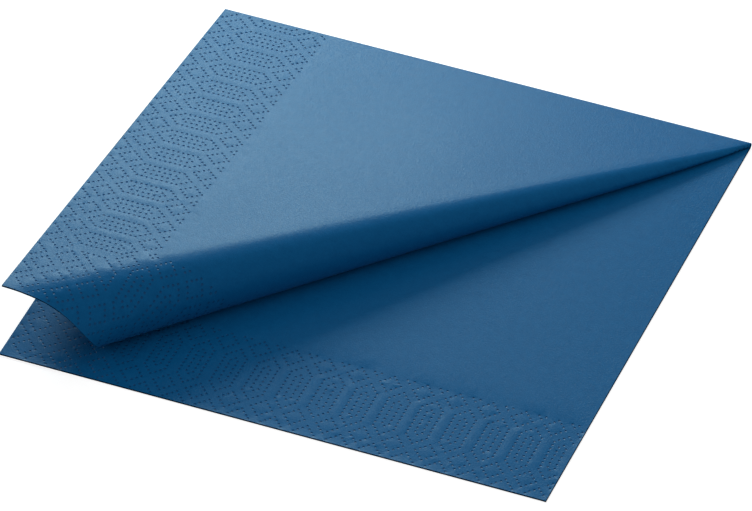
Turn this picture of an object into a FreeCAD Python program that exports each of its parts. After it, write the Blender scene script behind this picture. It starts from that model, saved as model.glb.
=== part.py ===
import FreeCAD, Part
import math
import os

from FreeCAD import Vector

# Sizes of the folded sheet in millimetres
SIDE = 165.0
LEAF = 0.5
TUCK_GAP = 0.1
HINGE_GAP = 0.2

FLAP_SKEW = 0.8

# Sizes of the soft roll, followed along the front edge from the raised corner
ROLL_LENGTHS = [9.3, 13.5, 12.5, 11.3]
ROLL_TURNS = [21.1, 48.1, 46.6, 69.5]
EDGE_STATIONS = [0.0, 12.0, 24.0, 36.0]
EDGE_ANGLES = [45.0, 43.2, 54.8, 56.8]
ROLL_SWELL = 1.2
SWELL_POWER = 5.0
STEPS_PER_TURN = 6
STEPS_PER_ROW = 4
SOLVE_ROUNDS = 40
ROLL_STRIPS = 20
ROW_PLACES = [0.0, 0.04, 0.09, 0.16, 0.25, 0.38, 0.55, 0.77, 1.0]
JOIN_TOLERANCE = 0.001

# Embossed border along the two open edges: places across it from the edge and along it from the free corner
HEXAGON = [(8.33, 0.0), (11.6, -3.08), (23.9, -3.08), (27.25, 0.0), (23.9, 3.08), (11.6, 3.08)]
HEXAGON_CORE = [(12.3, 0.0), (13.4, -1.04), (22.1, -1.04), (23.3, 0.0), (22.1, 1.04), (13.4, 1.04)]
DIAMOND_HALF = 3.25
DIAMOND_ROWS = [6.25, 29.33]
HEXAGON_START = 32.8
SIDE_PERIOD = 10.08
FRONT_PERIOD = 9.9
CORNER_PITCH = 5.4
CORNER_DIAMONDS = [(1, 1), (2, 2), (3, 3), (1, 3), (2, 4), (3, 1), (4, 2), (5, 5)]
GROOVE_HALF = 0.3
GROOVE_DEPTH = 0.15

# Heights of the middle of each layer above the table
LOWER_MIDDLE = LEAF / 2
TUCK_MIDDLE = LEAF + TUCK_GAP + LEAF / 2
FLAP_MIDDLE = TUCK_MIDDLE + LEAF + HINGE_GAP

UP = Vector(0, 0, 1)

# Point at the folded corner that every straight line of the roll aims for
HEART = Vector(SIDE, SIDE, (FLAP_MIDDLE + TUCK_MIDDLE) / 2)


def turned(vector, axis, angle):
    """Turn a vector about an axis.

    Args:
        vector: the vector to turn.
        axis: a unit vector to turn about.
        angle: the angle in radians.

    Returns:
        The turned vector.
    """
    along = axis * vector.dot(axis)
    return (vector - along) * math.cos(angle) + axis.cross(vector) * math.sin(angle) + along


def between(x, xs, ys):
    """Read a value off a line of straight steps, held level past its ends."""
    for x0, x1, y0, y1 in zip(xs, xs[1:], ys, ys[1:]):
        if x <= x1:
            return y0 + (y1 - y0) * (x - x0) / (x1 - x0)
    return ys[-1]


def flap_corner(tilt):
    """Place the raised front corner of the flap for a tilt in radians."""
    return Vector(FLAP_SKEW, SIDE - SIDE * math.cos(tilt), FLAP_MIDDLE + SIDE * math.sin(tilt))


def flap_normal(tilt):
    """Give the upward normal of the flat part of the flap."""
    return Vector(0, math.sin(tilt), math.cos(tilt))


def roll_edge(tilt, last_turn):
    """Follow the front edge of the flap over the roll to the table side.

    Args:
        tilt: the tilt of the flap in radians.
        last_turn: the turn of the last length in degrees.

    Returns:
        A list of points, the last normal, and a list of turned angles along the edge.
    """
    point = flap_corner(tilt)
    normal = flap_normal(tilt)
    points, angles = [point], [0.0]
    walked = 0.0
    turned_angle = 0.0
    for length, turn in zip(ROLL_LENGTHS, ROLL_TURNS[:-1] + [last_turn]):
        count = STEPS_PER_TURN * STEPS_PER_ROW
        for step in range(count):
            ruling = (point - HEART).normalize()
            normal = (normal - ruling * normal.dot(ruling)).normalize()
            outward = normal.cross(ruling)
            angle = math.radians(between(walked, EDGE_STATIONS, EDGE_ANGLES))
            point = point + (outward * math.sin(angle) - ruling * math.cos(angle)) * (length / count)
            walked += length / count
            normal = turned(normal, ruling, -math.radians(turn) / count)
            turned_angle += turn / count
            if step % STEPS_PER_ROW == STEPS_PER_ROW - 1:
                points.append(point)
                angles.append(turned_angle)
    return points, normal, angles


def solve_roll():
    """Find the tilt and the last turn that lay the tuck flat at its height."""
    tilt = math.radians(8.0)
    last_turn = ROLL_TURNS[-1]
    for _ in range(SOLVE_ROUNDS):
        points, normal, angles = roll_edge(tilt, last_turn)
        ruling = (points[-1] - HEART).normalize()
        last_turn -= math.degrees(normal.cross(ruling).z)
        tilt -= (points[-1].z - TUCK_MIDDLE) / SIDE
    return tilt, points, angles


def tip_point(share):
    """Give the middle of the sheet on the small round turn at the folded corner."""
    radius = (FLAP_MIDDLE - TUCK_MIDDLE) / 2
    turn = math.pi * share
    inward = Vector(-1, -1, 0).normalize()
    outward = Vector(1, -1, 0).normalize()
    start = Vector(SIDE, SIDE, FLAP_MIDDLE)
    return (start + inward * (radius * turn) + outward * (radius * math.sin(turn))
            - UP * (radius * (1 - math.cos(turn))))


def roll_rows(points, angles):
    """Lay rows of points over the middle of the roll, from the tip to the front edge."""
    peak = (1 / (1 + SWELL_POWER)) * (SWELL_POWER / (1 + SWELL_POWER)) ** SWELL_POWER
    outward = Vector(1, -1, 0).normalize()
    rows = []
    for along in ROW_PLACES:
        swell = ROLL_SWELL * along * (1 - along) ** SWELL_POWER / peak
        row = []
        for point, angle in zip(points, angles):
            share = angle / angles[-1]
            middle = tip_point(share) * (1 - along) + point * along
            row.append(middle + outward * (swell * math.sin(math.pi * share) ** 2))
        rows.append(row)
    return rows


def surface_through(rows):
    """Pass a smooth surface through rows of points.

    Args:
        rows: one row of points for each of ROW_PLACES, all as long as each other.

    Returns:
        A surface that runs from the first row to the last and along the rows.
    """
    places = [index / (len(rows[0]) - 1) for index in range(len(rows[0]))]
    curves = [curve_through(row, places) for row in rows]
    columns = [curve_through(list(poles), ROW_PLACES) for poles in zip(*(curve.getPoles() for curve in curves))]
    surface = Part.BSplineSurface()
    surface.buildFromPolesMultsKnots(
        [list(poles) for poles in zip(*(column.getPoles() for column in columns))],
        columns[0].getMultiplicities(), curves[0].getMultiplicities(),
        columns[0].getKnots(), curves[0].getKnots(), False, False, 3, 3)
    return surface


def curve_through(points, places):
    """Pass a smooth curve through points at given places along it."""
    curve = Part.BSplineCurve()
    curve.interpolate(Points=points, Parameters=places)
    return curve


def roll_solid(rows, start_normal):
    """Thicken the roll by half a leaf to each side of its middle surface.

    Args:
        rows: rows of points over the middle of the roll.
        start_normal: the normal of the flat flap, which the roll starts with.

    Returns:
        The solid of the roll, which meets the flap and the tuck face to face.
    """
    middle = surface_through(rows)
    outer_rows, inner_rows = [], []
    for row, u in zip(rows, ROW_PLACES):
        normals = [start_normal]
        for index in range(1, len(row) - 1):
            normal = middle.normal(u, index / (len(row) - 1))
            normals.append(normal if normal.dot(normals[-1]) > 0 else -normal)
        normals.append(-UP)
        outer_rows.append([point + normal * (LEAF / 2) for point, normal in zip(row, normals)])
        inner_rows.append([point - normal * (LEAF / 2) for point, normal in zip(row, normals)])
    outer, inner = strips(surface_through(outer_rows)), strips(surface_through(inner_rows))
    faces = [strip.toShape() for strip in outer + inner]
    for outer_strip, inner_strip in zip(outer, inner):
        faces += [wall(*pair) for pair in zip(end_curves(outer_strip), end_curves(inner_strip))]
    faces.append(wall(first_ruling(outer[0]), first_ruling(inner[0])))
    faces.append(wall(last_ruling(outer[-1]), last_ruling(inner[-1])))
    shell = Part.makeShell(faces)
    shell.sewShape(JOIN_TOLERANCE)
    solid = Part.makeSolid(shell)
    if solid.Volume < 0:
        solid.reverse()
    return solid


def strips(surface):
    """Cut a surface into strips that run from the tip to the front edge."""
    u0, u1, v0, v1 = surface.bounds()
    cut = []
    for index in range(ROLL_STRIPS):
        strip = surface.copy()
        start = v0 + (v1 - v0) * index / ROLL_STRIPS
        end = v0 + (v1 - v0) * (index + 1) / ROLL_STRIPS
        strip.segment(u0, u1, start, end)
        cut.append(strip)
    return cut


def end_curves(surface):
    """Give the two ends of a strip, at the tip and at the front edge."""
    u0, u1, _, _ = surface.bounds()
    return surface.uIso(u0), surface.uIso(u1)


def first_ruling(surface):
    """Give the side of a strip that is nearer to the flap."""
    return surface.vIso(surface.bounds()[2])


def last_ruling(surface):
    """Give the side of a strip that is nearer to the tuck."""
    return surface.vIso(surface.bounds()[3])


def wall(outer, inner):
    """Span two curves of equal knots with straight lines through the sheet."""
    surface = Part.BSplineSurface()
    surface.buildFromPolesMultsKnots(
        [outer.getPoles(), inner.getPoles()], [2, 2], outer.getMultiplicities(),
        [0, 1], outer.getKnots(), False, False, 1, outer.Degree)
    return surface.toShape()


def slab(corners, normal):
    """Make a flat piece of leaf from the corners of its middle plane."""
    low = [corner - normal * (LEAF / 2) for corner in corners]
    face = Part.Face(Part.makePolygon(low + [low[0]]))
    return face.extrude(normal * LEAF)


def diamond(across, along):
    """Outline a diamond of the border about its centre."""
    half = DIAMOND_HALF
    return [Vector(across + half, along), Vector(across, along + half),
            Vector(across - half, along), Vector(across, along - half)]


def side_motifs(period):
    """List the hexagons and diamonds along one open edge.

    Args:
        period: the distance between hexagons.

    Returns:
        Outlines, each with the outline of the pit inside it or None.
    """
    motifs = [(diamond(DIAMOND_ROWS[0], HEXAGON_START - period / 2), None)]
    centre = HEXAGON_START
    while centre + period / 2 + DIAMOND_HALF < SIDE - GROOVE_HALF:
        hexagon, core = ([Vector(x, y + centre) for x, y in outline] for outline in (HEXAGON, HEXAGON_CORE))
        motifs.append((hexagon, core))
        motifs += [(diamond(row, centre + period / 2), None) for row in DIAMOND_ROWS]
        centre += period
    return motifs


def mirrored(outline):
    """Swap the two open edges of an outline, and keep its first corner and its turning sense."""
    return [Vector(point.y, point.x) for point in outline[:1] + outline[:0:-1]]


def border_motifs(both_edges):
    """List the motifs of a leaf's border.

    Args:
        both_edges: whether the front edge has its border too, or only the left edge.

    Returns:
        Outlines, each with the outline of the pit inside it or None.
    """
    motifs = side_motifs(SIDE_PERIOD)
    motifs += [(diamond(CORNER_PITCH * i, CORNER_PITCH * j), None)
               for i, j in CORNER_DIAMONDS if both_edges or j > i]
    if both_edges:
        motifs += [(mirrored(outline), core and mirrored(core)) for outline, core in side_motifs(FRONT_PERIOD)]
    return motifs


def widened(outline, distance):
    """Move every side of a convex outline outwards by a distance."""
    before = outline[-1:] + outline[:-1]
    sides = [(corner - last).cross(UP).normalize() for last, corner in zip(before, outline)]
    return [corner + (first + second) * (distance / (1 + first.dot(second)))
            for corner, first, second in zip(outline, sides, sides[1:] + sides[:1])]


def ring(outline, place, depth=0.0):
    """Place an outline on a leaf, at a depth below its skin."""
    return [place(point, depth) for point in outline]


def facets(first, second):
    """Span two rings of equal length with flat facets."""
    after = lambda points: points[1:] + points[:1]
    return [Part.Face(Part.makePolygon([a, b, c, d, a]))
            for a, b, c, d in zip(first, after(first), after(second), second)]


def closed_wire(points):
    """Close a ring of points."""
    return Part.makePolygon(points + points[:1])


def pit(core, place):
    """Sink a long narrow pit to a ridge line along its middle."""
    rim = ring(core, place)
    near, far = (place((core[a] + core[b]) * 0.5, GROOVE_DEPTH) for a, b in ((1, 5), (2, 4)))
    corners = [(rim[0], rim[1], near), (rim[1], rim[2], far, near), (rim[2], rim[3], far),
               (rim[3], rim[4], far), (rim[4], rim[5], near, far), (rim[5], rim[0], near)]
    return [Part.Face(closed_wire(list(points))) for points in corners]


def embossed(leaf, outline, motifs, place):
    """Press a border of grooves into the skin of a flat piece of leaf.

    Args:
        leaf: the solid of the flat piece.
        outline: the corners of its skin.
        motifs: outlines of the border with the outlines of their pits.
        place: gives the point of a place of the border at a depth.

    Returns:
        The faces of the piece with its border.
    """
    up = (outline[1] - outline[0]).cross(outline[2] - outline[1]).normalize()
    faces = [face for face in leaf.Faces if face.normalAt(0, 0).dot(up) < 0.999]
    holes = []
    for motif, core in motifs:
        rim, bottom = ring(widened(motif, GROOVE_HALF), place), ring(motif, place, GROOVE_DEPTH)
        island = ring(widened(motif, -GROOVE_HALF), place)
        faces += facets(rim, bottom) + facets(bottom, island)
        inner = []
        if core:
            faces += pit(core, place)
            inner = [closed_wire(ring(core, place))]
        faces.append(Part.Face([closed_wire(island)] + inner, "Part::FaceMakerBullseye"))
        holes.append(closed_wire(rim))
    faces.append(Part.Face([closed_wire(outline)] + holes, "Part::FaceMakerBullseye"))
    return Part.makeCompound(faces)


def back_fold(tilt):
    """Make the rounded fold along the back edge, from the lower leaf to the flap.

    Args:
        tilt: the tilt of the flap in radians.

    Returns:
        The solid of the fold and the line where the lower leaf ends.
    """
    radius = (FLAP_MIDDLE - LOWER_MIDDLE) / (1 + math.cos(tilt))
    back = SIDE - radius * math.sin(tilt)
    centre = Vector(0, back, LOWER_MIDDLE + radius)

    def on_ring(distance, angle):
        return centre + Vector(0, distance * math.cos(angle), distance * math.sin(angle))

    start, end = -math.pi / 2, math.pi / 2 - tilt
    halfway = (start + end) / 2
    wide, tight = radius + LEAF / 2, radius - LEAF / 2
    outer = Part.Arc(on_ring(wide, start), on_ring(wide, halfway), on_ring(wide, end)).toShape()
    inner = Part.Arc(on_ring(tight, end), on_ring(tight, halfway), on_ring(tight, start)).toShape()
    first = Part.makeLine(on_ring(wide, end), on_ring(tight, end))
    last = Part.makeLine(on_ring(tight, start), on_ring(wide, start))
    ring = Part.Face(Part.Wire([outer, first, inner, last]))
    return ring.extrude(Vector(SIDE, 0, 0)), back


def tuck_corners(tip, front):
    """Place the corners of the tucked part, which keeps its square corner.

    Args:
        tip: where the right edge of the flap leaves the roll.
        front: where the front edge of the flap leaves the roll.

    Returns:
        The three corners of the middle plane.
    """
    right_rest = SIDE - tip.distanceToPoint(Vector(SIDE, SIDE, tip.z)) * math.sqrt(2)
    front_rest = SIDE - sum(ROLL_LENGTHS)
    angle = math.atan2(front_rest, right_rest)
    crease = front - tip
    edge = turned(crease, UP, -angle) * math.cos(angle)
    return [tip, tip + edge, front]


def joined(pieces):
    """Join pieces that meet face to face by dropping the faces that they share.

    Args:
        pieces: closed solids, each of which meets the next in one equal face.

    Returns:
        One closed solid.
    """
    faces = [face for piece in pieces for face in piece.Faces]
    centres = [face.CenterOfMass for face in faces]
    kept = []
    for face, centre in zip(faces, centres):
        twins = [other for other in centres if other.distanceToPoint(centre) < JOIN_TOLERANCE]
        if len(twins) == 1:
            kept.append(face)
    shell = Part.makeShell(kept)
    shell.sewShape(JOIN_TOLERANCE)
    solid = Part.makeSolid(shell)
    if solid.Volume < 0:
        solid.reverse()
    return solid


def build():
    """Make the folded sheet as one solid that stands on the table."""
    tilt, points, angles = solve_roll()
    points[-1] = Vector(points[-1].x, points[-1].y, TUCK_MIDDLE)
    normal = flap_normal(tilt)
    rows = roll_rows(points, angles)
    fold, back = back_fold(tilt)
    flap = [Vector(0, SIDE, FLAP_MIDDLE), points[0], Vector(SIDE, SIDE, FLAP_MIDDLE)]
    down = (flap[1] - flap[0]) * (1 / SIDE)

    def on_lower(point, depth):
        return Vector(point.x, point.y, LEAF - depth)

    def on_flap(point, depth):
        return flap[0] + Vector(point.x, 0, 0) + down * (SIDE - point.y) + normal * (LEAF / 2 - depth)

    lower_skin = [Vector(0, 0, LEAF), Vector(SIDE, 0, LEAF), Vector(SIDE, back, LEAF), Vector(0, back, LEAF)]
    flap_skin = [corner + normal * (LEAF / 2) for corner in flap]
    pieces = [
        embossed(Part.makeBox(SIDE, back, LEAF), lower_skin, border_motifs(True), on_lower),
        fold,
        embossed(slab(flap, normal), flap_skin, border_motifs(False), on_flap),
        roll_solid(rows, normal),
        slab(tuck_corners(rows[0][-1], rows[-1][-1]), UP),
    ]
    sheet = joined(pieces)
    box = sheet.optimalBoundingBox(False, False)
    sheet.translate(Vector(-(box.XMin + box.XMax) / 2, -(box.YMin + box.YMax) / 2, -box.ZMin))
    return sheet


os.makedirs("parts", exist_ok=True)
napkin = build()
napkin.exportStep("parts/napkin.step")
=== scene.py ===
"""Paper napkin: one sheet of dyed tissue, folded in quarters, its top leaf turned under in a soft roll.

The sheet is followed as one flat strip, from the front edge of the lower leaf over the back fold to the
front edge of the upper leaf. Every point of the strip is laid in its place in the folded napkin by one
mapping, and the embossed dots are pressed into both skins of the strip.
"""

import logging
import math
from dataclasses import dataclass, field
from enum import Enum, IntEnum
from typing import Any

import bpy
import numpy as np
from mathutils import Matrix, Vector
from mathutils.geometry import delaunay_2d_cdt


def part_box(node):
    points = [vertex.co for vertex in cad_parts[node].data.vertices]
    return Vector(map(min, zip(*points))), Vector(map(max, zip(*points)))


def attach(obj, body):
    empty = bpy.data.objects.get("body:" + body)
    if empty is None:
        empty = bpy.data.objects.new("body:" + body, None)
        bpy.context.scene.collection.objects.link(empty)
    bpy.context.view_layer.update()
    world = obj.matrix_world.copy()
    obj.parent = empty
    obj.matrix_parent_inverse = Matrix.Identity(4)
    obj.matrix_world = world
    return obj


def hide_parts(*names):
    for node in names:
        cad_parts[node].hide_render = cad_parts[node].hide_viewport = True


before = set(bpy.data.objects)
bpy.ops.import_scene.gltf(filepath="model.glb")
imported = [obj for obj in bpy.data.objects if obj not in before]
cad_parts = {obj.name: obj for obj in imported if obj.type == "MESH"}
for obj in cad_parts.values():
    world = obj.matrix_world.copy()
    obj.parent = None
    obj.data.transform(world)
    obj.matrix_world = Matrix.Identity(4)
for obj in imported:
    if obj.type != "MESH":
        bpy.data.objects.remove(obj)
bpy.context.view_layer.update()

LOG = logging.getLogger("napkin")
MM = 0.001
TINY = 1e-6
WHITE = (1.0, 1.0, 1.0, 1.0)


class Skin(Enum):
    """Sides of the sheet: the one that ends up outside the fold, and the one inside it."""

    OUTER = -1
    INNER = 1


class Finish(IntEnum):
    """Places of the finishes among the mesh's materials."""

    SHEET = 0
    LIP = 1
    PIT = 2


def linear_colour(hex_value: str) -> tuple[float, float, float, float]:
    """Turn an sRGB hex colour into linear red, green, blue and alpha.

    Args:
        hex_value: six hex digits.

    Returns:
        The linear colour, opaque.
    """
    parts = np.array([int(hex_value[i:i + 2], 16) for i in (0, 2, 4)]) / 255.0
    linear = np.where(parts <= 0.04045, parts / 12.92, ((parts + 0.055) / 1.055) ** 2.4)
    return (float(linear[0]), float(linear[1]), float(linear[2]), 1.0)


def add_node(tree: bpy.types.NodeTree, kind: str, values: dict[Any, Any] | None = None,
             links: dict[Any, Any] | None = None, **settings: Any) -> bpy.types.Node:
    """Add a node with its settings, its socket values and its incoming links.

    Args:
        tree: the node tree that gets the node.
        kind: Blender's name of the node type.
        values: values for input sockets, by name or number.
        links: output sockets to link to input sockets, by name or number.
        settings: properties of the node.

    Returns:
        The new node.
    """
    node = tree.nodes.new(kind)
    for name, value in settings.items():
        setattr(node, name, value)
    for name, value in (values or {}).items():
        node.inputs[name].default_value = value
    for name, socket in (links or {}).items():
        tree.links.new(socket, node.inputs[name])
    return node


def cleared_tree(owner: bpy.types.Material | bpy.types.World) -> bpy.types.NodeTree:
    """Turn on the nodes of a material or a world and clear its tree."""
    owner.use_nodes = True
    owner.node_tree.nodes.clear()
    return owner.node_tree


def combine(tree: bpy.types.NodeTree, operation: str, *terms: Any) -> bpy.types.NodeSocket:
    """Work out a sum, product or the like of sockets and numbers.

    Args:
        tree: the node tree that gets the node.
        operation: Blender's name of the operation.
        terms: output sockets to link, or plain numbers.

    Returns:
        The output socket of the result.
    """
    node = add_node(tree, "ShaderNodeMath", operation=operation)
    for place, term in enumerate(terms):
        if isinstance(term, bpy.types.NodeSocket):
            tree.links.new(term, node.inputs[place])
        else:
            node.inputs[place].default_value = term
    return node.outputs[0]


def noise(tree: bpy.types.NodeTree, place: bpy.types.NodeSocket, scale: float,
          **values: float) -> bpy.types.NodeSocket:
    """Add a noise texture.

    Args:
        tree: the node tree that gets the node.
        place: output socket of the coordinates.
        scale: repeats for each unit of the coordinates.
        values: values for further input sockets, by their names in small letters.

    Returns:
        The output socket of the noise.
    """
    inputs = {name.capitalize(): value for name, value in values.items()}
    node = add_node(tree, "ShaderNodeTexNoise", {"Scale": scale, **inputs}, {"Vector": place})
    return node.outputs["Fac"]


def bump(tree: bpy.types.NodeTree, height: bpy.types.NodeSocket, strength: float, depth: float,
         below: bpy.types.NodeSocket | None = None) -> bpy.types.NodeSocket:
    """Add a bump.

    Args:
        tree: the node tree that gets the node.
        height: output socket of the height.
        strength: share of the bump that shows.
        depth: height of the bump in metres.
        below: output socket of a normal that the bump adds to.

    Returns:
        The output socket of the bumped normal.
    """
    links = {"Height": height}
    if below is not None:
        links["Normal"] = below
    node = add_node(tree, "ShaderNodeBump", {"Strength": strength, "Distance": depth}, links)
    return node.outputs["Normal"]


def direction(azimuth: float, elevation: float) -> Vector:
    """Give the direction away from the napkin at an azimuth and an elevation in degrees."""
    turn, rise = math.radians(azimuth), math.radians(elevation)
    return Vector((math.sin(turn) * math.cos(rise), -math.cos(turn) * math.cos(rise), math.sin(rise)))


def smooth_step(values: np.ndarray, start: float, end: float) -> np.ndarray:
    """Rise softly from 0 at start to 1 at end, by three squares less two cubes of the share between."""
    share = np.clip((values - start) / (end - start), 0.0, 1.0)
    return share * share * (3.0 - 2.0 * share)


@dataclass(frozen=True)
class DotBorder:
    """Embossed border of small round dots along the two open edges of a leaf.

    Places are in millimetres: across is the distance from the open edge and along is the distance from
    the free corner. The ornament is rows of hexagons and diamonds, with smaller diamonds in the corner.
    The pins press a little slantwise, so that each dot has one steep wall and one gentle one. Centres of
    dots are at least clear_radii times the dots' radius apart.
    """

    hexagon_start: float = 32.8
    side_period: float = 10.08
    front_period: float = 9.9
    row_step: float = 1.04
    outer_diamond: tuple[float, float] = (6.25, 3.33)
    inner_diamond: tuple[float, float] = (29.33, 3.29)
    diamond_half: float = 3.13
    corner_half: float = 3.3
    clear_radii: float = 2.1
    dot_radius: float = 0.42
    dot_depth: float = 0.3
    dot_slant: float = 0.2
    slant_turn: float = 21.84
    back_depth: float = 0.1
    rim_depth: float = 0.12
    edge_margin: float = 0.62
    corner_pitch: float = 5.4

    def diamond(self, across: float, along: float, half_across: float, half_along: float) -> np.ndarray:
        """List the 12 dots of a diamond, three steps to each of its four sides.

        Args:
            across: centre across the border.
            along: centre along the border.
            half_across: half diagonal across the border.
            half_along: half diagonal along the border.

        Returns:
            An array of places, one row for each dot.
        """
        steps, sides = 3, 4
        step = np.arange(steps * sides) / steps
        corner = np.array([[1, 0], [0, 1], [-1, 0], [0, -1], [1, 0]], float)
        low = np.minimum(step.astype(int), sides - 1)
        share = (step - low)[:, None]
        ring = corner[low] * (1 - share) + corner[low + 1] * share
        return np.array([across, along]) + ring * np.array([half_across, half_along])

    def hexagon(self) -> np.ndarray:
        """List the dots of a long hexagon, its inner ring and the chevron next to the open edge."""
        near = self.row_step
        outer_row = np.linspace(11.6, 23.9, 9)
        inner_row = np.linspace(13.4, 22.1, 6)
        upper = np.concatenate([
            np.stack([outer_row, np.full_like(outer_row, 3.08)], 1),
            np.array([[10.54, 2 * near], [9.42, near], [25.0, 2 * near], [26.1, near]]),
            np.stack([inner_row, np.full_like(inner_row, near)], 1),
            np.array([[32.6, near]]),
            self.chevron_arm(),
        ])
        on_axis = np.array([[across, 0.0] for across in (8.33, 27.25, 12.3, 23.3, 31.4, 4.17)])
        return np.concatenate([upper, upper * [1, -1], on_axis])

    def chevron_arm(self) -> np.ndarray:
        """List the dots of one arm of the small chevron next to the open edge."""
        return np.array([[3.04, 1.0], [1.96, 2.1], [0.95, 3.05]])

    def strip(self, period: float, side: float) -> np.ndarray:
        """Repeat the hexagons and the diamonds between them along one edge, up to the fold.

        Args:
            period: distance between hexagons.
            side: length of the edge.

        Returns:
            An array of places (across, along).
        """
        count = int((side - self.hexagon_start) / period) + 1
        across, half = self.outer_diamond
        parts = [self.diamond(across, self.hexagon_start - period / 2, half, self.diamond_half)]
        for index in range(count):
            centre = self.hexagon_start + index * period
            parts.append(self.hexagon() + [0.0, centre])
            for across, half in (self.outer_diamond, self.inner_diamond):
                parts.append(self.diamond(across, centre + period / 2, half, self.diamond_half))
        return np.concatenate(parts)

    def corner(self) -> np.ndarray:
        """List the dots of the free corner: small diamonds about a framed four-sided field."""
        pitch = self.corner_pitch
        places = [(1, 1), (2, 2), (3, 3), (1, 3), (3, 1), (2, 4), (4, 2), (5, 5)]
        half = self.corner_half
        parts = [self.diamond(pitch * i, pitch * j, half, half) for i, j in places]
        row = np.stack([np.linspace(13.5, 20.4, 5), np.full(5, 25.9)], 1)
        slope = np.linspace((20.4, 25.9), (26.2, 20.1), 6)[1:-1]
        close = np.linspace((13.5, 25.9), (26.0, 13.5), 12)[1:-1]
        parts += [row, row[:, ::-1], slope, close]
        arm = self.chevron_arm()
        chevron = np.concatenate([arm, arm * [1, -1], np.array([[4.17, 0.0]])])
        for place in (2 * pitch, 4 * pitch):
            parts += [chevron + [0.0, place], (chevron + [0.0, place])[:, ::-1]]
        return np.concatenate(parts)

    def crests(self, side: float) -> np.ndarray:
        """List the puffed places between the border's rows of dots, one line of them for each repeat.

        Args:
            side: side of the leaf.

        Returns:
            An array of (distance from the side edge, distance from the front edge).
        """
        between = np.arange(13.0, 24.0, 2.0)
        across = np.array([1.6, self.outer_diamond[0], *between, self.inner_diamond[0]])
        strips = []
        for period in (self.side_period, self.front_period):
            along = np.arange(self.hexagon_start + period / 2, side - 1.0, period)
            x, y = np.meshgrid(across, along)
            strips.append(np.stack([x.ravel(), y.ravel()], 1))
        return np.concatenate([strips[0], strips[1][:, ::-1]])

    def dots(self, side: float) -> np.ndarray:
        """List every dot of a leaf as (distance from the side edge, distance from the front edge).

        Args:
            side: side of the leaf.

        Returns:
            An array of dots, none closer to another or to an edge than a dot needs.
        """
        places = np.concatenate([
            self.corner(),
            self.strip(self.side_period, side),
            self.strip(self.front_period, side)[:, ::-1],
        ])
        inside = (places > self.edge_margin).all(1) & (places < side - self.edge_margin).all(1)
        places = places[inside]
        gaps = np.hypot(*(places[:, None, :] - places[None, :, :]).transpose(2, 0, 1))
        crowded = np.tril(gaps < self.clear_radii * self.dot_radius, -1).any(1)
        return places[~crowded]


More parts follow.
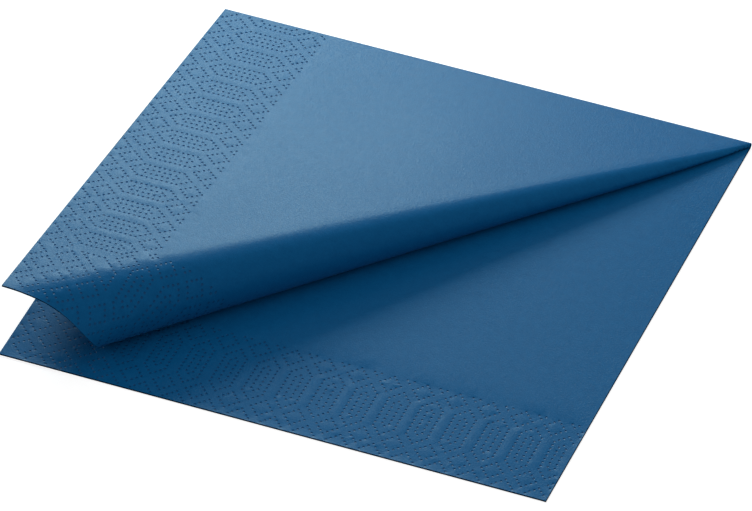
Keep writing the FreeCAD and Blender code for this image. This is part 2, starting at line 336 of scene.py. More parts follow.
@dataclass
class FoldedSheet:
    """Folded shape of the strip, from the same named values as the part's source, in millimetres.

    The flap has soft waves, which fade towards its folds between the distances of fold_fade and
    roll_fade. The tilt and the roll's last turn are found in fit_rounds rounds, the ruling under a flat
    point in halvings steps, and directions by differences over probe_step.
    """

    side: float = 165.0
    leaf: float = 0.5
    tuck_gap: float = 0.1
    hinge_gap: float = 0.2
    flap_skew: float = 0.8
    roll_lengths: tuple[float, ...] = (9.3, 13.5, 12.5, 11.3)
    roll_turns: tuple[float, ...] = (21.1, 48.1, 46.6, 69.5)
    edge_stations: tuple[float, ...] = (0.0, 12.0, 24.0, 36.0)
    edge_angles: tuple[float, ...] = (45.0, 43.2, 54.8, 56.8)
    roll_swell: float = 1.2
    swell_power: float = 5.0
    steps_per_turn: int = 24
    wave_height: float = 0.07
    fold_fade: tuple[float, float] = (6.0, 40.0)
    roll_fade: tuple[float, float] = (0.0, 40.0)
    first_tilt: float = 8.0
    fit_rounds: int = 25
    halvings: int = 34
    probe_step: float = 0.03
    edge_points: np.ndarray = field(init=False)
    edge_shares: np.ndarray = field(init=False)
    edge_walked: np.ndarray = field(init=False)
    tilt: float = field(init=False)

    def __post_init__(self) -> None:
        """Work out the heights of the layers, then the tilt and the roll that lay the tuck flat."""
        self.lower_middle = self.leaf / 2
        self.tuck_middle = self.leaf + self.tuck_gap + self.leaf / 2
        self.flap_middle = self.tuck_middle + self.leaf + self.hinge_gap
        self.tip_radius = (self.flap_middle - self.tuck_middle) / 2
        self.tilt = math.radians(self.first_tilt)
        last_turn = self.roll_turns[-1]
        for _ in range(self.fit_rounds):
            points, normal, ruling, shares, walked = self.follow_edge(self.tilt, last_turn)
            last_turn -= math.degrees(float(np.cross(normal, ruling)[2]))
            self.tilt -= float(points[-1][2] - self.tuck_middle) / self.side
        points[-1][2] = self.tuck_middle
        self.edge_points, self.edge_shares, self.edge_walked = points, shares, walked
        self.fold_radius = (self.flap_middle - self.lower_middle) / (1 + math.cos(self.tilt))
        self.back = self.side - self.fold_radius * math.sin(self.tilt)
        self.arc = self.fold_radius * (math.pi - self.tilt)
        self.strip_length = self.back + self.arc + self.side
        self.tip_walk = math.sqrt(2.0) * self.tip_radius * math.pi

    def follow_edge(self, tilt: float, last_turn: float) -> tuple[np.ndarray, ...]:
        """Walk along the front edge of the upper leaf, over the roll, from the raised corner.

        Each step leaves the ruling to the folded corner at the edge's own angle, and the sheet's normal
        turns about that ruling by an equal share of the length's turn.

        Args:
            tilt: tilt of the flap in radians.
            last_turn: turn of the last length in degrees.

        Returns:
            The points, the last normal and ruling, the shares of the whole turn and the distances.
        """
        heart = np.array([self.side, self.side, (self.flap_middle + self.tuck_middle) / 2])
        point = np.array([self.flap_skew, self.side - self.side * math.cos(tilt),
                          self.flap_middle + self.side * math.sin(tilt)])
        normal = np.array([0.0, math.sin(tilt), math.cos(tilt)])
        points, turned, walked = [point], [0.0], [0.0]
        for length, turn in zip(self.roll_lengths, (*self.roll_turns[:-1], last_turn)):
            step = length / self.steps_per_turn
            bend = math.radians(turn) / self.steps_per_turn
            for _ in range(self.steps_per_turn):
                ruling = (point - heart) / np.linalg.norm(point - heart)
                normal = normal - ruling * (normal @ ruling)
                normal = normal / np.linalg.norm(normal)
                outward = np.cross(normal, ruling)
                angle = math.radians(float(np.interp(walked[-1], self.edge_stations, self.edge_angles)))
                point = point + (outward * math.sin(angle) - ruling * math.cos(angle)) * step
                normal = normal * math.cos(bend) + outward * math.sin(bend)
                points.append(point)
                turned.append(turned[-1] + bend)
                walked.append(walked[-1] + step)
        ruling = (point - heart) / np.linalg.norm(point - heart)
        return np.array(points), normal, ruling, np.array(turned) / turned[-1], np.array(walked)

    def walk(self, share: np.ndarray) -> np.ndarray:
        """Give the distance walked along the front edge at a share of the roll's turn."""
        return np.interp(share, self.edge_shares, self.edge_walked)

    def roll(self, share: np.ndarray, along: np.ndarray) -> np.ndarray:
        """Lay points on the roll: a straight blend from the tip's turn to the front edge, plus a swell.

        The tip turns in half a circle about the fold line while it backs off along it. The swell stands
        away from the diagonal. It falls off from the tip to the front edge by a power of the way that is
        left, and to both ends of the turn by the squared sine.

        Args:
            share: shares of the roll's turn.
            along: shares of the way from the tip to the front edge.

        Returns:
            Points of the middle of the sheet.
        """
        turn = np.pi * share
        backing = self.tip_radius * turn / math.sqrt(2.0)
        bulge = self.tip_radius * np.sin(turn) / math.sqrt(2.0)
        tip = np.stack([self.side - backing + bulge, self.side - backing - bulge,
                        self.flap_middle - self.tip_radius * (1 - np.cos(turn))], -1)
        edge = np.stack([np.interp(share, self.edge_shares, line) for line in self.edge_points.T], -1)
        power = self.swell_power
        peak = (1 / (1 + power)) * (power / (1 + power)) ** power
        swell = self.roll_swell * along * (1 - along) ** power / peak * np.sin(turn) ** 2
        away = np.array([1.0, -1.0, 0.0]) / math.sqrt(2.0)
        return tip * (1 - along[..., None]) + edge * along[..., None] + away * swell[..., None]

    def roll_share(self, x: np.ndarray, reach: np.ndarray) -> np.ndarray:
        """Find by halving the ruling on which flat points of the roll lie.

        A ruling at a share runs in the flat leaf from the right edge, the tip's walk down from the corner,
        to the front edge, the edge's walk in from its corner.

        Args:
            x: distance from the left edge.
            reach: distance from the hinge.

        Returns:
            The shares of the roll's turn.
        """
        low, high = np.zeros_like(x), np.ones_like(x)
        for _ in range(self.halvings):
            share = (low + high) / 2
            along = (self.side - x) / (self.side - self.walk(share))
            start = self.tip_walk * share
            beyond = reach - start - along * (self.side - start) > 0
            low, high = np.where(beyond, share, low), np.where(beyond, high, share)
        return (low + high) / 2

    def upper(self, x: np.ndarray, reach: np.ndarray) -> np.ndarray:
        """Lay flat points of the upper leaf on the flap, the roll or the tuck.

        Args:
            x: distance from the left edge.
            reach: distance from the hinge.

        Returns:
            Points of the middle of the sheet.
        """
        lean = self.flap_skew * reach / self.side
        flap = np.stack([x + lean, self.side - reach * math.cos(self.tilt),
                         self.flap_middle + reach * math.sin(self.tilt)], -1)
        last = self.walk(np.array(1.0))
        right_rest, front_rest = self.side - self.tip_walk, self.side - float(last)
        beyond_first = x + reach > self.side
        beyond_last = (reach - self.tip_walk) - (self.side - x) / front_rest * right_rest > 0
        share = self.roll_share(x, reach)
        roll = self.roll(share, (self.side - x) / (self.side - self.walk(share)))
        start = self.roll(np.array(1.0), np.array(0.0))
        front = self.roll(np.array(1.0), np.array(1.0))
        angle = -math.atan2(front_rest, right_rest)
        crease = front - start
        cosine, sine = math.cos(angle), math.sin(angle)
        edge = np.array([crease[0] * cosine - crease[1] * sine, crease[0] * sine + crease[1] * cosine, 0.0])
        edge = edge * cosine
        down_right = ((reach - self.tip_walk) / right_rest)[..., None]
        in_front = ((self.side - x) / front_rest)[..., None]
        tuck = start + edge * down_right + (front - start - edge) * in_front
        inside = beyond_first & ~beyond_last
        return np.where(inside[..., None], roll, np.where(beyond_last[..., None], tuck, flap))

    def middle(self, places: np.ndarray) -> np.ndarray:
        """Lay places of the strip on the middle of the folded sheet.

        The lower leaf lies flat, the back fold follows an arc, and the upper leaf rises from it.

        Args:
            places: rows of (distance from the left edge, distance along the strip).

        Returns:
            Points in millimetres from the free corner of the lower leaf.
        """
        x, run = places[:, 0], places[:, 1]
        lower = np.stack([x, run, np.full_like(x, self.lower_middle)], -1)
        angle = np.clip((run - self.back) / self.fold_radius, 0.0, np.pi) - np.pi / 2
        arc = np.stack([x, self.back + self.fold_radius * np.cos(angle),
                        self.lower_middle + self.fold_radius * (1 + np.sin(angle))], -1)
        reach = np.maximum(run - self.back - self.arc, 0.0)
        upper = self.upper(x, reach)
        on_lower = (run <= self.back)[:, None]
        on_upper = (run >= self.back + self.arc)[:, None]
        return np.where(on_lower, lower, np.where(on_upper, upper, arc))

    def slopes(self, places: np.ndarray) -> tuple[np.ndarray, np.ndarray]:
        """Give the directions of the folded sheet across and along the strip, by small differences.

        Args:
            places: rows of (distance from the left edge, distance along the strip).

        Returns:
            Two arrays of unit directions.
        """
        size = np.array([self.side, self.strip_length])
        result = []
        for step in np.eye(2) * self.probe_step:
            ahead = np.clip(places + step, 0.0, size)
            behind = np.clip(places - step, 0.0, size)
            difference = self.middle(ahead) - self.middle(behind)
            result.append(difference / np.linalg.norm(difference, axis=1, keepdims=True))
        return result[0], result[1]

    def unevenness(self, places: np.ndarray) -> np.ndarray:
        """Give the soft waves of the lifted flap, as a sum of long sines that fade at its folds."""
        x, reach = places[:, 0], places[:, 1] - self.back - self.arc
        fade = smooth_step(reach, *self.fold_fade) * smooth_step(self.side - x - reach, *self.roll_fade)
        crosswise = np.sin(x / 13.0 + 0.6 * np.sin(reach / 21.0))
        lengthwise = np.sin(reach / 17.0 + x / 29.0 + 1.0)
        slanting = 0.6 * np.sin((x - reach) / 8.5 + 2.0)
        return self.wave_height * (crosswise + lengthwise + slanting) * fade


@dataclass
class Napkin:
    """The folded napkin as one closed mesh: two skins of the strip and the lips round its edges.

    The mesh is close over the roll and along the edges, and its grid is coarse on the leaves. Rows on the
    roll draw together towards its tip by the power row_crowding. The grid keeps roll_margin away from the
    roll, and the even steps of the edges keep joint_gaps away from it. Lip heights are shares of the leaf's
    thickness.
    """

    shape: FoldedSheet
    border: DotBorder
    origin: Vector
    grid_step: float = 4.2
    edge_step: float = 1.65
    joint_gaps: tuple[float, float] = (0.4, 0.3)
    arc_parts: int = 10
    fold_rows: int = 9
    roll_columns: int = 29
    roll_rows: int = 96
    row_crowding: float = 1.15
    roll_margin: float = 1.5
    shown_rim: int = 8
    hidden_rim: int = 5
    batch: int = 400
    lip_share: float = 0.72
    lip_heights: tuple[float, ...] = (-0.68, -0.34, 0.0, 0.34, 0.68)
    cut_lip: tuple[float, ...] = (0.05, 0.06, -0.16, 0.06, 0.05)
    folded_lip: tuple[float, ...] = (0.09, 0.16, 0.18, 0.16, 0.09)

    def edge_run(self) -> np.ndarray:
        """List the steps along the strip's long edges: even on the leaves, finer round the back fold."""
        shape = self.shape
        count = round(shape.side / self.edge_step)
        arc = shape.back + shape.arc * np.arange(1, self.arc_parts) / self.arc_parts
        upper_start = shape.back + shape.arc
        near = upper_start + shape.side * np.linspace(0.0, 1.0, count + 1)
        return np.concatenate([np.linspace(0.0, shape.back, count + 1), arc, near])

    def outline(self) -> tuple[np.ndarray, np.ndarray]:
        """Walk round the strip's edge, the front edge of the lower leaf first.

        Returns:
            The places, and for each the direction out of the strip.
        """
        shape = self.shape
        run = self.edge_run()
        wide = np.linspace(0.0, shape.side, round(shape.side / self.edge_step) + 1)
        walk = shape.walk(np.linspace(0.0, 1.0, self.roll_columns))
        front_gap, side_gap = self.joint_gaps
        end = np.unique(np.round(np.concatenate([walk, wide[wide > walk[-1] + front_gap]]), 6))
        tip_run = shape.back + shape.arc + shape.tip_walk * np.linspace(0.0, 1.0, self.roll_columns)
        right = run[(run < tip_run[0] + 1e-9) | (run > tip_run[-1] + side_gap)]
        right = np.unique(np.round(np.concatenate([right, tip_run]), 9))
        length = shape.strip_length
        front = np.stack([wide, np.zeros_like(wide)], 1)[:-1]
        side = np.stack([np.full_like(right, shape.side), right], 1)[:-1]
        far = np.stack([end, np.full_like(end, length)], 1)[::-1][:-1]
        left = np.stack([np.zeros_like(run), run], 1)[::-1][:-1]
        places = np.concatenate([front, side, far, left])
        places[:, 1] = np.minimum(places[:, 1], length)
        ends = np.array([shape.side, length])
        out = np.where(places > ends - TINY, 1.0, np.where(places < TINY, -1.0, 0.0))
        return places, out

    def field_points(self) -> np.ndarray:
        """List the places of the coarse grid on the leaves and of the close one over roll and fold."""
        shape = self.shape
        inner = np.arange(self.grid_step, shape.side - 1.0, self.grid_step)
        x, y = np.meshgrid(inner, inner)
        lower = np.stack([x.ravel(), y.ravel()], 1)
        upper = np.stack([x.ravel(), shape.strip_length - y.ravel()], 1)
        fold_run = shape.back + shape.arc * np.linspace(0.0, 1.0, self.fold_rows)
        x, run = np.meshgrid(np.arange(self.edge_step, shape.side - 0.5, self.edge_step), fold_run)
        fold = np.stack([x.ravel(), run.ravel()], 1)
        rows = np.linspace(0.0, 1.0, self.roll_rows + 1)[1:-1] ** self.row_crowding
        share, along = np.meshgrid(np.linspace(0.0, 1.0, self.roll_columns), rows)
        start = shape.tip_walk * share
        roll_x = shape.side - along * (shape.side - shape.walk(share))
        roll_reach = start + along * (shape.side - start)
        roll = np.stack([roll_x.ravel(), shape.back + shape.arc + roll_reach.ravel()], 1)
        reach = upper[:, 1] - shape.back - shape.arc
        first = upper[:, 0] + reach - shape.side
        front_rest = shape.side - shape.walk(np.array(1.0))
        last = (reach - shape.tip_walk) * front_rest / (shape.side - shape.tip_walk)
        margin = self.roll_margin
        clear = (first < -margin) | (last - (shape.side - upper[:, 0]) > margin)
        crests = self.border.crests(shape.side)
        flipped = np.stack([crests[:, 0], shape.strip_length - crests[:, 1]], 1)
        return np.concatenate([lower, upper[clear], fold, roll, crests, flipped])

    def dot_points(self, skin: Skin) -> tuple[np.ndarray, np.ndarray]:
        """List the rims and the centres of the dots of both leaves for one skin.

        The skin that shows on a leaf has rims of more points than the other skin.

        Args:
            skin: the side of the sheet.

        Returns:
            The rim places and the centres, those of the shown side first.
        """
        shape = self.shape
        dots = self.border.dots(shape.side)
        upper = np.stack([dots[:, 0], shape.strip_length - dots[:, 1]], 1)
        fine, coarse = (upper, dots) if skin is Skin.OUTER else (dots, upper)
        rims = []
        for centres, count, turn in ((fine, self.shown_rim, 0.5), (coarse, self.hidden_rim, 0.0)):
            angle = 2 * np.pi * (np.arange(count) + turn) / count
            ring = np.stack([np.cos(angle), np.sin(angle)], 1) * self.border.dot_radius
            rims.append((centres[:, None, :] + ring[None, :, :]).reshape(-1, 2))
        turn = math.radians(self.border.slant_turn)
        slant = np.array([-math.sin(turn), math.cos(turn)]) * self.border.dot_slant
        pits = [upper + slant * [1, -1], dots + slant]
        return np.concatenate(rims), np.concatenate(pits if skin is Skin.OUTER else pits[::-1])

    def skin(self, skin: Skin, outline: np.ndarray) -> tuple[np.ndarray, np.ndarray, np.ndarray]:
        """Make the triangles of one skin over the flat strip, by the rule of empty circles.

        Args:
            skin: the side of the sheet.
            outline: places round the strip's edge, which come first among the places.

        Returns:
            The places, their depths below the skin, and the triangles as rows of three numbers.
        """
        rims, centres = self.dot_points(skin)
        points = self.field_points()
        keep = np.ones(len(points), bool)
        for shift in range(0, len(centres), self.batch):
            part = centres[shift:shift + self.batch]
            gap = np.hypot(points[:, None, 0] - part[None, :, 0], points[:, None, 1] - part[None, :, 1])
            keep &= gap.min(1) > self.border.dot_radius * self.border.clear_radii
        points = points[keep]
        places = np.concatenate([outline, points, rims, centres])
        half = len(centres) // 2
        depths = np.concatenate([
            np.zeros(len(outline) + len(points)),
            np.full(self.shown_rim * half, self.border.rim_depth),
            np.zeros(self.hidden_rim * half),
            np.full(half, self.border.dot_depth),
            np.full(half, self.border.back_depth),
        ])
        count = len(outline)
        border = [(index, (index + 1) % count) for index in range(count)]
        _, _, faces, sources, _, _ = delaunay_2d_cdt(places.tolist(), border, [], 1, 1e-7)
        lookup = np.array([source[0] for source in sources])
        return places, depths, lookup[np.array(faces)]

    def lips(self, outline: np.ndarray, out: np.ndarray) -> tuple[np.ndarray, int]:
        """Shape the edges of the sheet between its two skins.

        A cut edge shows its two layers as two soft beads with a groove between them, and the folded edge
        is one round bead.

        Args:
            outline: places round the strip's edge.
            out: directions out of the strip.

        Returns:
            The points of the rows between the skins, and the number of rows.
        """
        shape = self.shape
        across, along = shape.slopes(outline)
        outward = across * out[:, :1] + along * out[:, 1:]
        normal = np.cross(across, along)
        normal /= np.linalg.norm(normal, axis=1, keepdims=True)
        folded = (outline[:, 0] > shape.side - TINY)[:, None]
        middle = shape.middle(outline)
        rows = []
        for height, cut_out, round_out in zip(self.lip_heights, self.cut_lip, self.folded_lip):
            rise = normal * (height * shape.leaf) * self.lip_share
            rows.append(middle + rise + outward * np.where(folded, round_out, cut_out))
        return np.concatenate(rows), len(rows)

    def laid(self, places: np.ndarray, depths: np.ndarray, skin: Skin) -> np.ndarray:
        """Lay a skin's places in the folded napkin: half a leaf off the middle, less the dots' depth.

        Args:
            places: places of the strip.
            depths: depths below the skin.
            skin: the side of the sheet.

        Returns:
            Points in millimetres.
        """
        across, along = self.shape.slopes(places)
        normal = np.cross(across, along)
        normal /= np.linalg.norm(normal, axis=1, keepdims=True)
        lift = self.shape.unevenness(places)
        offset = skin.value * (self.shape.leaf / 2 - depths) - lift
        return self.shape.middle(places) + normal * offset[:, None]

    def owners(self, places: np.ndarray, count: int, border: int) -> np.ndarray:
        """Number the points of each rim alike, and those of the skin's border, to find the creases.

        Args:
            places: places of the skin's points.
            count: number of points round the border.
            border: number given to the border's points, 1 on one skin and 2 on the other.

        Returns:
            A number for each point, -1 for those on no crease.
        """
        dots = len(self.border.dots(self.shape.side))
        rims = np.concatenate([np.repeat(np.arange(dots), self.shown_rim),
                               np.repeat(dots + np.arange(dots), self.hidden_rim)])
        plain = len(places) - len(rims) - 2 * dots
        first_rim = 9
        marks = np.full(len(places), -1)
        marks[:count] = border
        marks[plain:plain + len(rims)] = first_rim + 2 * rims + border
        return marks

    def mark_creases(self, mesh: bpy.types.Mesh, owners: np.ndarray) -> None:
        """Mark as creases the edges between two points of one rim or one border."""
        ends = np.zeros(2 * len(mesh.edges), np.int32)
        mesh.edges.foreach_get("vertices", ends)
        first, second = owners[ends[0::2]], owners[ends[1::2]]
        sharp = mesh.attributes.new("sharp_edge", "BOOLEAN", "EDGE")
        sharp.data.foreach_set("value", (first == second) & (first > 0))

    def build(self, material: bpy.types.Material, edge_material: bpy.types.Material,
              dot_material: bpy.types.Material) -> bpy.types.Object:
        """Make the napkin's object and dress it.

        Args:
            material: the finish of the tissue.
            edge_material: the finish of its edges, darker as painted shade between the plies.
            dot_material: the finish of its pressed dots, darker as painted shade in their pits.

        Returns:
            The object.
        """
        outline, out = self.outline()
        count = len(outline)
        outer_places, outer_depths, outer_faces = self.skin(Skin.OUTER, outline)
        inner_places, inner_depths, inner_faces = self.skin(Skin.INNER, outline)
        lip_points, lip_rows = self.lips(outline, out)
        points = np.concatenate([
            self.laid(outer_places, outer_depths, Skin.OUTER),
            self.laid(inner_places, inner_depths, Skin.INNER),
            lip_points,
        ])
        inner_start = len(outer_places)
        lip_start = inner_start + len(inner_places)
        ring = np.arange(count)
        after = (ring + 1) % count
        starts = [0, *(lip_start + row * count for row in range(lip_rows)), inner_start]
        bands = [np.stack([low + ring, low + after, high + after, high + ring], 1)
                 for low, high in zip(starts, starts[1:])]
        quads = np.concatenate(bands)
        triangles = np.concatenate([outer_faces[:, ::-1], inner_faces + inner_start])
        flat = np.concatenate([outer_places, inner_places, np.tile(outline, (lip_rows, 1))])
        world = points * MM + np.array(self.origin)
        mesh = bpy.data.meshes.new("napkin_sheet")
        mesh.from_pydata(world.tolist(), [], triangles.tolist() + quads.tolist())
        mesh.update()
        corners = np.zeros(len(mesh.loops), np.int32)
        mesh.loops.foreach_get("vertex_index", corners)
        layer = mesh.uv_layers.new(name="flat_strip")
        layer.uv.foreach_set("vector", (flat[corners] / self.shape.side).ravel())
        dots = len(self.border.dots(self.shape.side))
        self.mark_creases(mesh, np.concatenate([
            self.owners(outer_places, count, 1),
            self.owners(inner_places, count, 2),
            np.full(len(lip_points), -1),
        ]))
        pits = np.zeros(len(points), bool)
        for end in (inner_start, lip_start):
            pits[end - 2 * dots:end] = True
        pitted = pits[triangles].any(1)
        mesh.polygons.foreach_set("use_smooth", np.concatenate([~pitted, np.ones(len(quads), bool)]))
        # Pit faces take the dots' finish, whose darker dye is painted shade in the pits.
        finishes = np.where(pitted, Finish.PIT, Finish.SHEET)
        # Lip faces take the edge finish, whose darker colour is painted shade between the plies.
        finishes = np.concatenate([finishes, np.full(len(quads), Finish.LIP)])
        mesh.polygons.foreach_set("material_index", finishes)
        for finish in (material, edge_material, dot_material):
            mesh.materials.append(finish)
        piece = bpy.data.objects.new("napkin_sheet", mesh)
        bpy.context.collection.objects.link(piece)
        LOG.info("napkin_sheet: %d triangles, %d dots", len(triangles) + 2 * len(quads), 2 * dots)
        return piece


@dataclass(frozen=True)
class DyedTissue:
    """Dyed cellulose tissue, creped and calendered in three plies.

    Short fibres lie in clouds, so the dye looks slightly mottled. Creping leaves fine wrinkles across the
    web, and the loose fibre ends catch low light as a pale sheen and make the gloss uneven. Sizes of the
    noises are in millimetres of the flat sheet, and depths of the relief in metres.
    """

    name: str = "dyed_tissue"
    deep: str = "045285"
    light: str = "0a5e94"
    roughness: float = 0.37
    gloss: float = 0.06
    sheen_weight: float = 0.02
    sheen_roughness: float = 0.45
    sheen_tint: str = "b8e2f5"
    gloss_tint: str = "d6f7ff"
    cloud_mm: float = 2.6
    fibre_mm: float = 0.55
    crepe_mm: float = 0.8
    crepe_stretch: float = 0.28
    cloud_share: float = 0.4
    dye_spread: tuple[float, float] = (0.34, 0.66)
    wrinkle_strength: float = 0.15
    wrinkle_depth: float = 0.00016
    fibre_strength: float = 0.5
    fibre_depth: float = 0.00012
    loose_ends: float = 0.018
    gloss_spread: tuple[float, float] = (0.3, 0.7)
    side_mm: float = 165.0

    def material(self) -> bpy.types.Material:
        """Build the node material of the tissue.

        Returns:
            The material.
        """
        material = bpy.data.materials.new(self.name)
        tree = cleared_tree(material)
        place = add_node(tree, "ShaderNodeUVMap", uv_map="flat_strip").outputs["UV"]
        in_mm = add_node(tree, "ShaderNodeMapping", {"Scale": (self.side_mm, self.side_mm, 1.0)},
                         {"Vector": place}).outputs["Vector"]
        clouds = noise(tree, in_mm, 1 / self.cloud_mm, detail=4.0, roughness=0.6)
        fibres = noise(tree, in_mm, 1 / self.fibre_mm, detail=3.0, roughness=0.65, distortion=0.8)
        mottle = combine(tree, "MULTIPLY", clouds, self.cloud_share)
        speck = combine(tree, "MULTIPLY", fibres, 1 - self.cloud_share)
        both = combine(tree, "ADD", mottle, speck)
        low, high = self.dye_spread
        spread = add_node(tree, "ShaderNodeMapRange", {"From Min": low, "From Max": high},
                          {"Value": both}).outputs["Result"]
        dyes = {6: linear_colour(self.deep), 7: linear_colour(self.light)}
        dye = add_node(tree, "ShaderNodeMix", dyes, {0: spread}, data_type="RGBA")
        crepe_scale = (1 / self.crepe_mm, self.crepe_stretch / self.crepe_mm, 1.0)
        stretched = add_node(tree, "ShaderNodeMapping", {"Scale": crepe_scale}, {"Vector": in_mm})
        crepe = noise(tree, stretched.outputs["Vector"], 1.0, detail=2.0, roughness=0.5)
        wrinkles = bump(tree, crepe, self.wrinkle_strength, self.wrinkle_depth)
        relief = bump(tree, fibres, self.fibre_strength, self.fibre_depth, wrinkles)
        low, high = self.gloss_spread
        matt = add_node(tree, "ShaderNodeMapRange", {
            "From Min": low,
            "From Max": high,
            "To Min": self.roughness + self.loose_ends,
            "To Max": self.roughness - self.loose_ends,
        }, {"Value": crepe})
        surface = add_node(tree, "ShaderNodeBsdfPrincipled", {
            "Sheen Weight": self.sheen_weight,
            "Sheen Roughness": self.sheen_roughness,
            "Sheen Tint": linear_colour(self.sheen_tint),
            "Specular IOR Level": self.gloss,
            "Specular Tint": linear_colour(self.gloss_tint),
        }, {"Base Color": dye.outputs[2], "Normal": relief, "Roughness": matt.outputs["Result"]})
        add_node(tree, "ShaderNodeOutputMaterial", None, {"Surface": surface.outputs["BSDF"]})
        return material


@dataclass(frozen=True)
class ShadedTissueEdge:
    """Edges of the same tissue, quite matt, in a darker colour that is painted shade for the light lost
    between the plies.
    """

    # painted shade: darker than the sheet's dye, standing in for the shade between the plies at the edges
    dye: str = "042845"
    fibre_mm: float = 0.4
    roughness: float = 0.95
    fibre_strength: float = 0.5
    fibre_depth: float = 0.0001

    def material(self) -> bpy.types.Material:
        """Build the node material of the edges.

        Returns:
            The material.
        """
        material = bpy.data.materials.new("tissue_edge_painted_shade")
        tree = cleared_tree(material)
        place = add_node(tree, "ShaderNodeTexCoord").outputs["Object"]
        fibres = noise(tree, place, 1 / MM / self.fibre_mm, detail=2.0)
        relief = bump(tree, fibres, self.fibre_strength, self.fibre_depth)
        surface = add_node(tree, "ShaderNodeBsdfPrincipled", {
            "Base Color": linear_colour(self.dye),
            "Roughness": self.roughness,
            "Specular IOR Level": 0.0,
        }, {"Normal": relief})
        add_node(tree, "ShaderNodeOutputMaterial", None, {"Surface": surface.outputs["BSDF"]})
        return material


@dataclass(frozen=True)
class SoftLamp:
    """A round soft box, aimed at the napkin. Angles are in degrees, and its size and distance in metres."""

    name: str
    azimuth: float
    elevation: float
    distance: float
    size: float
    power: float
    tone: str

    def build(self, target: Vector) -> bpy.types.Object:
        """Make the lamp at its place round the target.

        Args:
            target: point that it faces.

        Returns:
            The lamp's object.
        """
        away = direction(self.azimuth, self.elevation)
        data = bpy.data.lights.new(self.name, "AREA")
        data.shape = "DISK"
        data.size = self.size
        data.energy = self.power
        data.color = linear_colour(self.tone)[:3]
        lamp = bpy.data.objects.new(self.name, data)
        lamp.location = target + away * self.distance
        lamp.rotation_euler = away.to_track_quat("Z", "Y").to_euler()
        bpy.context.collection.objects.link(lamp)
        return lamp


@dataclass
class Studio:
    """Plain pale table, white surroundings and a soft lamp behind the napkin."""

    target: Vector
    table_half: float = 3.0
    table_grey: str = "dcdcdc"
    zenith: float = 0.62
    horizon: float = 0.27
    table_glow: float = 0.68
    lamps: tuple[SoftLamp, ...] = (
        SoftLamp(name="soft_box", azimuth=-155.8, elevation=23.2, distance=0.65, size=0.22, power=2.85,
                 tone="dcfdff"),
    )

    def seen_plainly(self, tree: bpy.types.NodeTree) -> bpy.types.NodeSocket:
        """Tell rays from the camera, and those that gloss or glass sends on, from all other rays."""
        path = add_node(tree, "ShaderNodeLightPath").outputs
        seen = combine(tree, "MAXIMUM", path["Is Camera Ray"], path["Is Glossy Ray"])
        return combine(tree, "MAXIMUM", seen, path["Is Transmission Ray"])

    def surroundings(self) -> None:
        """Make the world: white where it is seen, else a plain light that falls off to the horizon."""
        world = bpy.data.worlds.new("plain_studio")
        bpy.context.scene.world = world
        tree = cleared_tree(world)
        seen = self.seen_plainly(tree)
        way = add_node(tree, "ShaderNodeNewGeometry").outputs["Incoming"]
        parts = add_node(tree, "ShaderNodeSeparateXYZ", None, {0: way})
        height = combine(tree, "ABSOLUTE", parts.outputs["Z"])
        strength = add_node(tree, "ShaderNodeMapRange", {"To Min": self.horizon, "To Max": self.zenith},
                            {"Value": height})
        light = add_node(tree, "ShaderNodeBackground", {"Color": WHITE},
                         {"Strength": strength.outputs["Result"]})
        white = add_node(tree, "ShaderNodeBackground", {"Color": WHITE, "Strength": 1.0})
        mixed = add_node(tree, "ShaderNodeMixShader", None,
                         {0: seen, 1: light.outputs[0], 2: white.outputs[0]})
        add_node(tree, "ShaderNodeOutputWorld", None, {"Surface": mixed.outputs[0]})

    def table(self) -> bpy.types.Object:
        """Make the table: matt and pale, lifted to white where it is seen, but shadowed by the napkin.

        Returns:
            The table's object.
        """
        half = self.table_half
        corners = [(-half, -half, 0.0), (half, -half, 0.0), (half, half, 0.0), (-half, half, 0.0)]
        mesh = bpy.data.meshes.new("table_top")
        mesh.from_pydata(corners, [], [(0, 1, 2, 3)])
        material = bpy.data.materials.new("pale_matt_table")
        tree = cleared_tree(material)
        seen = self.seen_plainly(tree)
        matt = add_node(tree, "ShaderNodeBsdfDiffuse", {"Color": linear_colour(self.table_grey)})
        glow = add_node(tree, "ShaderNodeEmission", {"Color": WHITE, "Strength": self.table_glow})
        lifted = add_node(tree, "ShaderNodeAddShader", None, {0: matt.outputs[0], 1: glow.outputs[0]})
        mixed = add_node(tree, "ShaderNodeMixShader", None,
                         {0: seen, 1: matt.outputs[0], 2: lifted.outputs[0]})
        add_node(tree, "ShaderNodeOutputMaterial", None, {"Surface": mixed.outputs[0]})
        mesh.materials.append(material)
        table = bpy.data.objects.new("table_top", mesh)
        bpy.context.collection.objects.link(table)
        return table

    def build(self) -> None:
        """Make the surroundings, the table and the lamps."""
        self.surroundings()
        self.table()
        for lamp in self.lamps:
            lamp.build(self.target)
        LOG.info("studio: table and %d lamps", len(self.lamps))


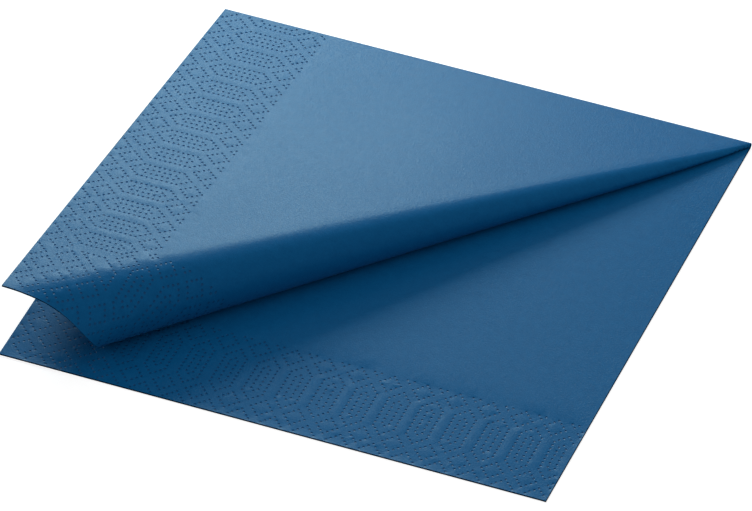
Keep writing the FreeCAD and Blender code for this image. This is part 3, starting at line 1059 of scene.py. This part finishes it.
@dataclass(frozen=True)
class PhotoCamera:
    """Camera at the photograph's viewing angle, measured off the corners and edges of the folded square.

    Angles are in degrees. The distance and the two steps are in sides of the square, the sensor is in
    millimetres and the clip distances in metres.
    """

    azimuth: float = 21.84
    elevation: float = 40.4639
    roll: float = 0.13341
    focal_px: float = 8632.2
    image_width: int = 752
    distance: float = 14.95607
    side_step: float = 0.00705
    up_step: float = 0.00959
    sensor: float = 36.0
    clip_start: float = 0.1
    clip_end: float = 20.0

    def build(self, centre: Vector, side: float) -> bpy.types.Object:
        """Make the camera and set it as the scene's own.

        Args:
            centre: middle of the lower leaf on the table.
            side: side of the folded square in metres.

        Returns:
            The camera's object.
        """
        turn, roll = math.radians(self.azimuth), math.radians(self.roll)
        back = direction(self.azimuth, self.elevation)
        right = Vector((math.cos(turn), math.sin(turn), 0.0))
        up = back.cross(right)
        level = Matrix((right, up, back))
        cosine, sine = math.cos(roll), math.sin(roll)
        spin = Matrix(((cosine, sine, 0), (-sine, cosine, 0), (0, 0, 1)))
        axes = spin @ level
        step = Vector((self.side_step, self.up_step, -self.distance)) * side
        data = bpy.data.cameras.new("photo_camera")
        data.sensor_width = self.sensor
        data.lens = self.focal_px * self.sensor / self.image_width
        data.clip_start = self.clip_start
        data.clip_end = self.clip_end
        camera = bpy.data.objects.new("photo_camera", data)
        turned = axes.transposed()
        camera.matrix_world = Matrix.Translation(centre - turned @ step) @ turned.to_4x4()
        bpy.context.collection.objects.link(camera)
        bpy.context.scene.camera = camera
        return camera


def main() -> None:
    """Build the camera, the studio and the napkin."""
    logging.basicConfig(level=logging.INFO, format="%(name)s %(message)s")
    bpy.context.scene.view_settings.view_transform = "Standard"
    low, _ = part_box("napkin")
    origin = Vector((low.x, low.y, 0.0))
    shape = FoldedSheet()
    side = shape.side * MM
    centre = origin + Vector((side / 2, side / 2, 0.0))
    PhotoCamera().build(centre, side)
    Studio(target=centre).build()
    LOG.info("tilt %.3f, roll ends at %s", math.degrees(shape.tilt), shape.edge_points[-1])
    # The pressed finish's darker dye is painted shade in the dots' pits; its higher gloss is the glaze of
    # the pins.
    pressed = DyedTissue(name="pressed_tissue_painted_shade", deep="033e6d", light="064a7b", roughness=0.35,
                         gloss=0.12)
    sheet = Napkin(shape=shape, border=DotBorder(), origin=origin).build(
        DyedTissue().material(), ShadedTissueEdge().material(), pressed.material())
    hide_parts("napkin")
    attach(sheet, "root")


if __name__ == "__main__":
    main()
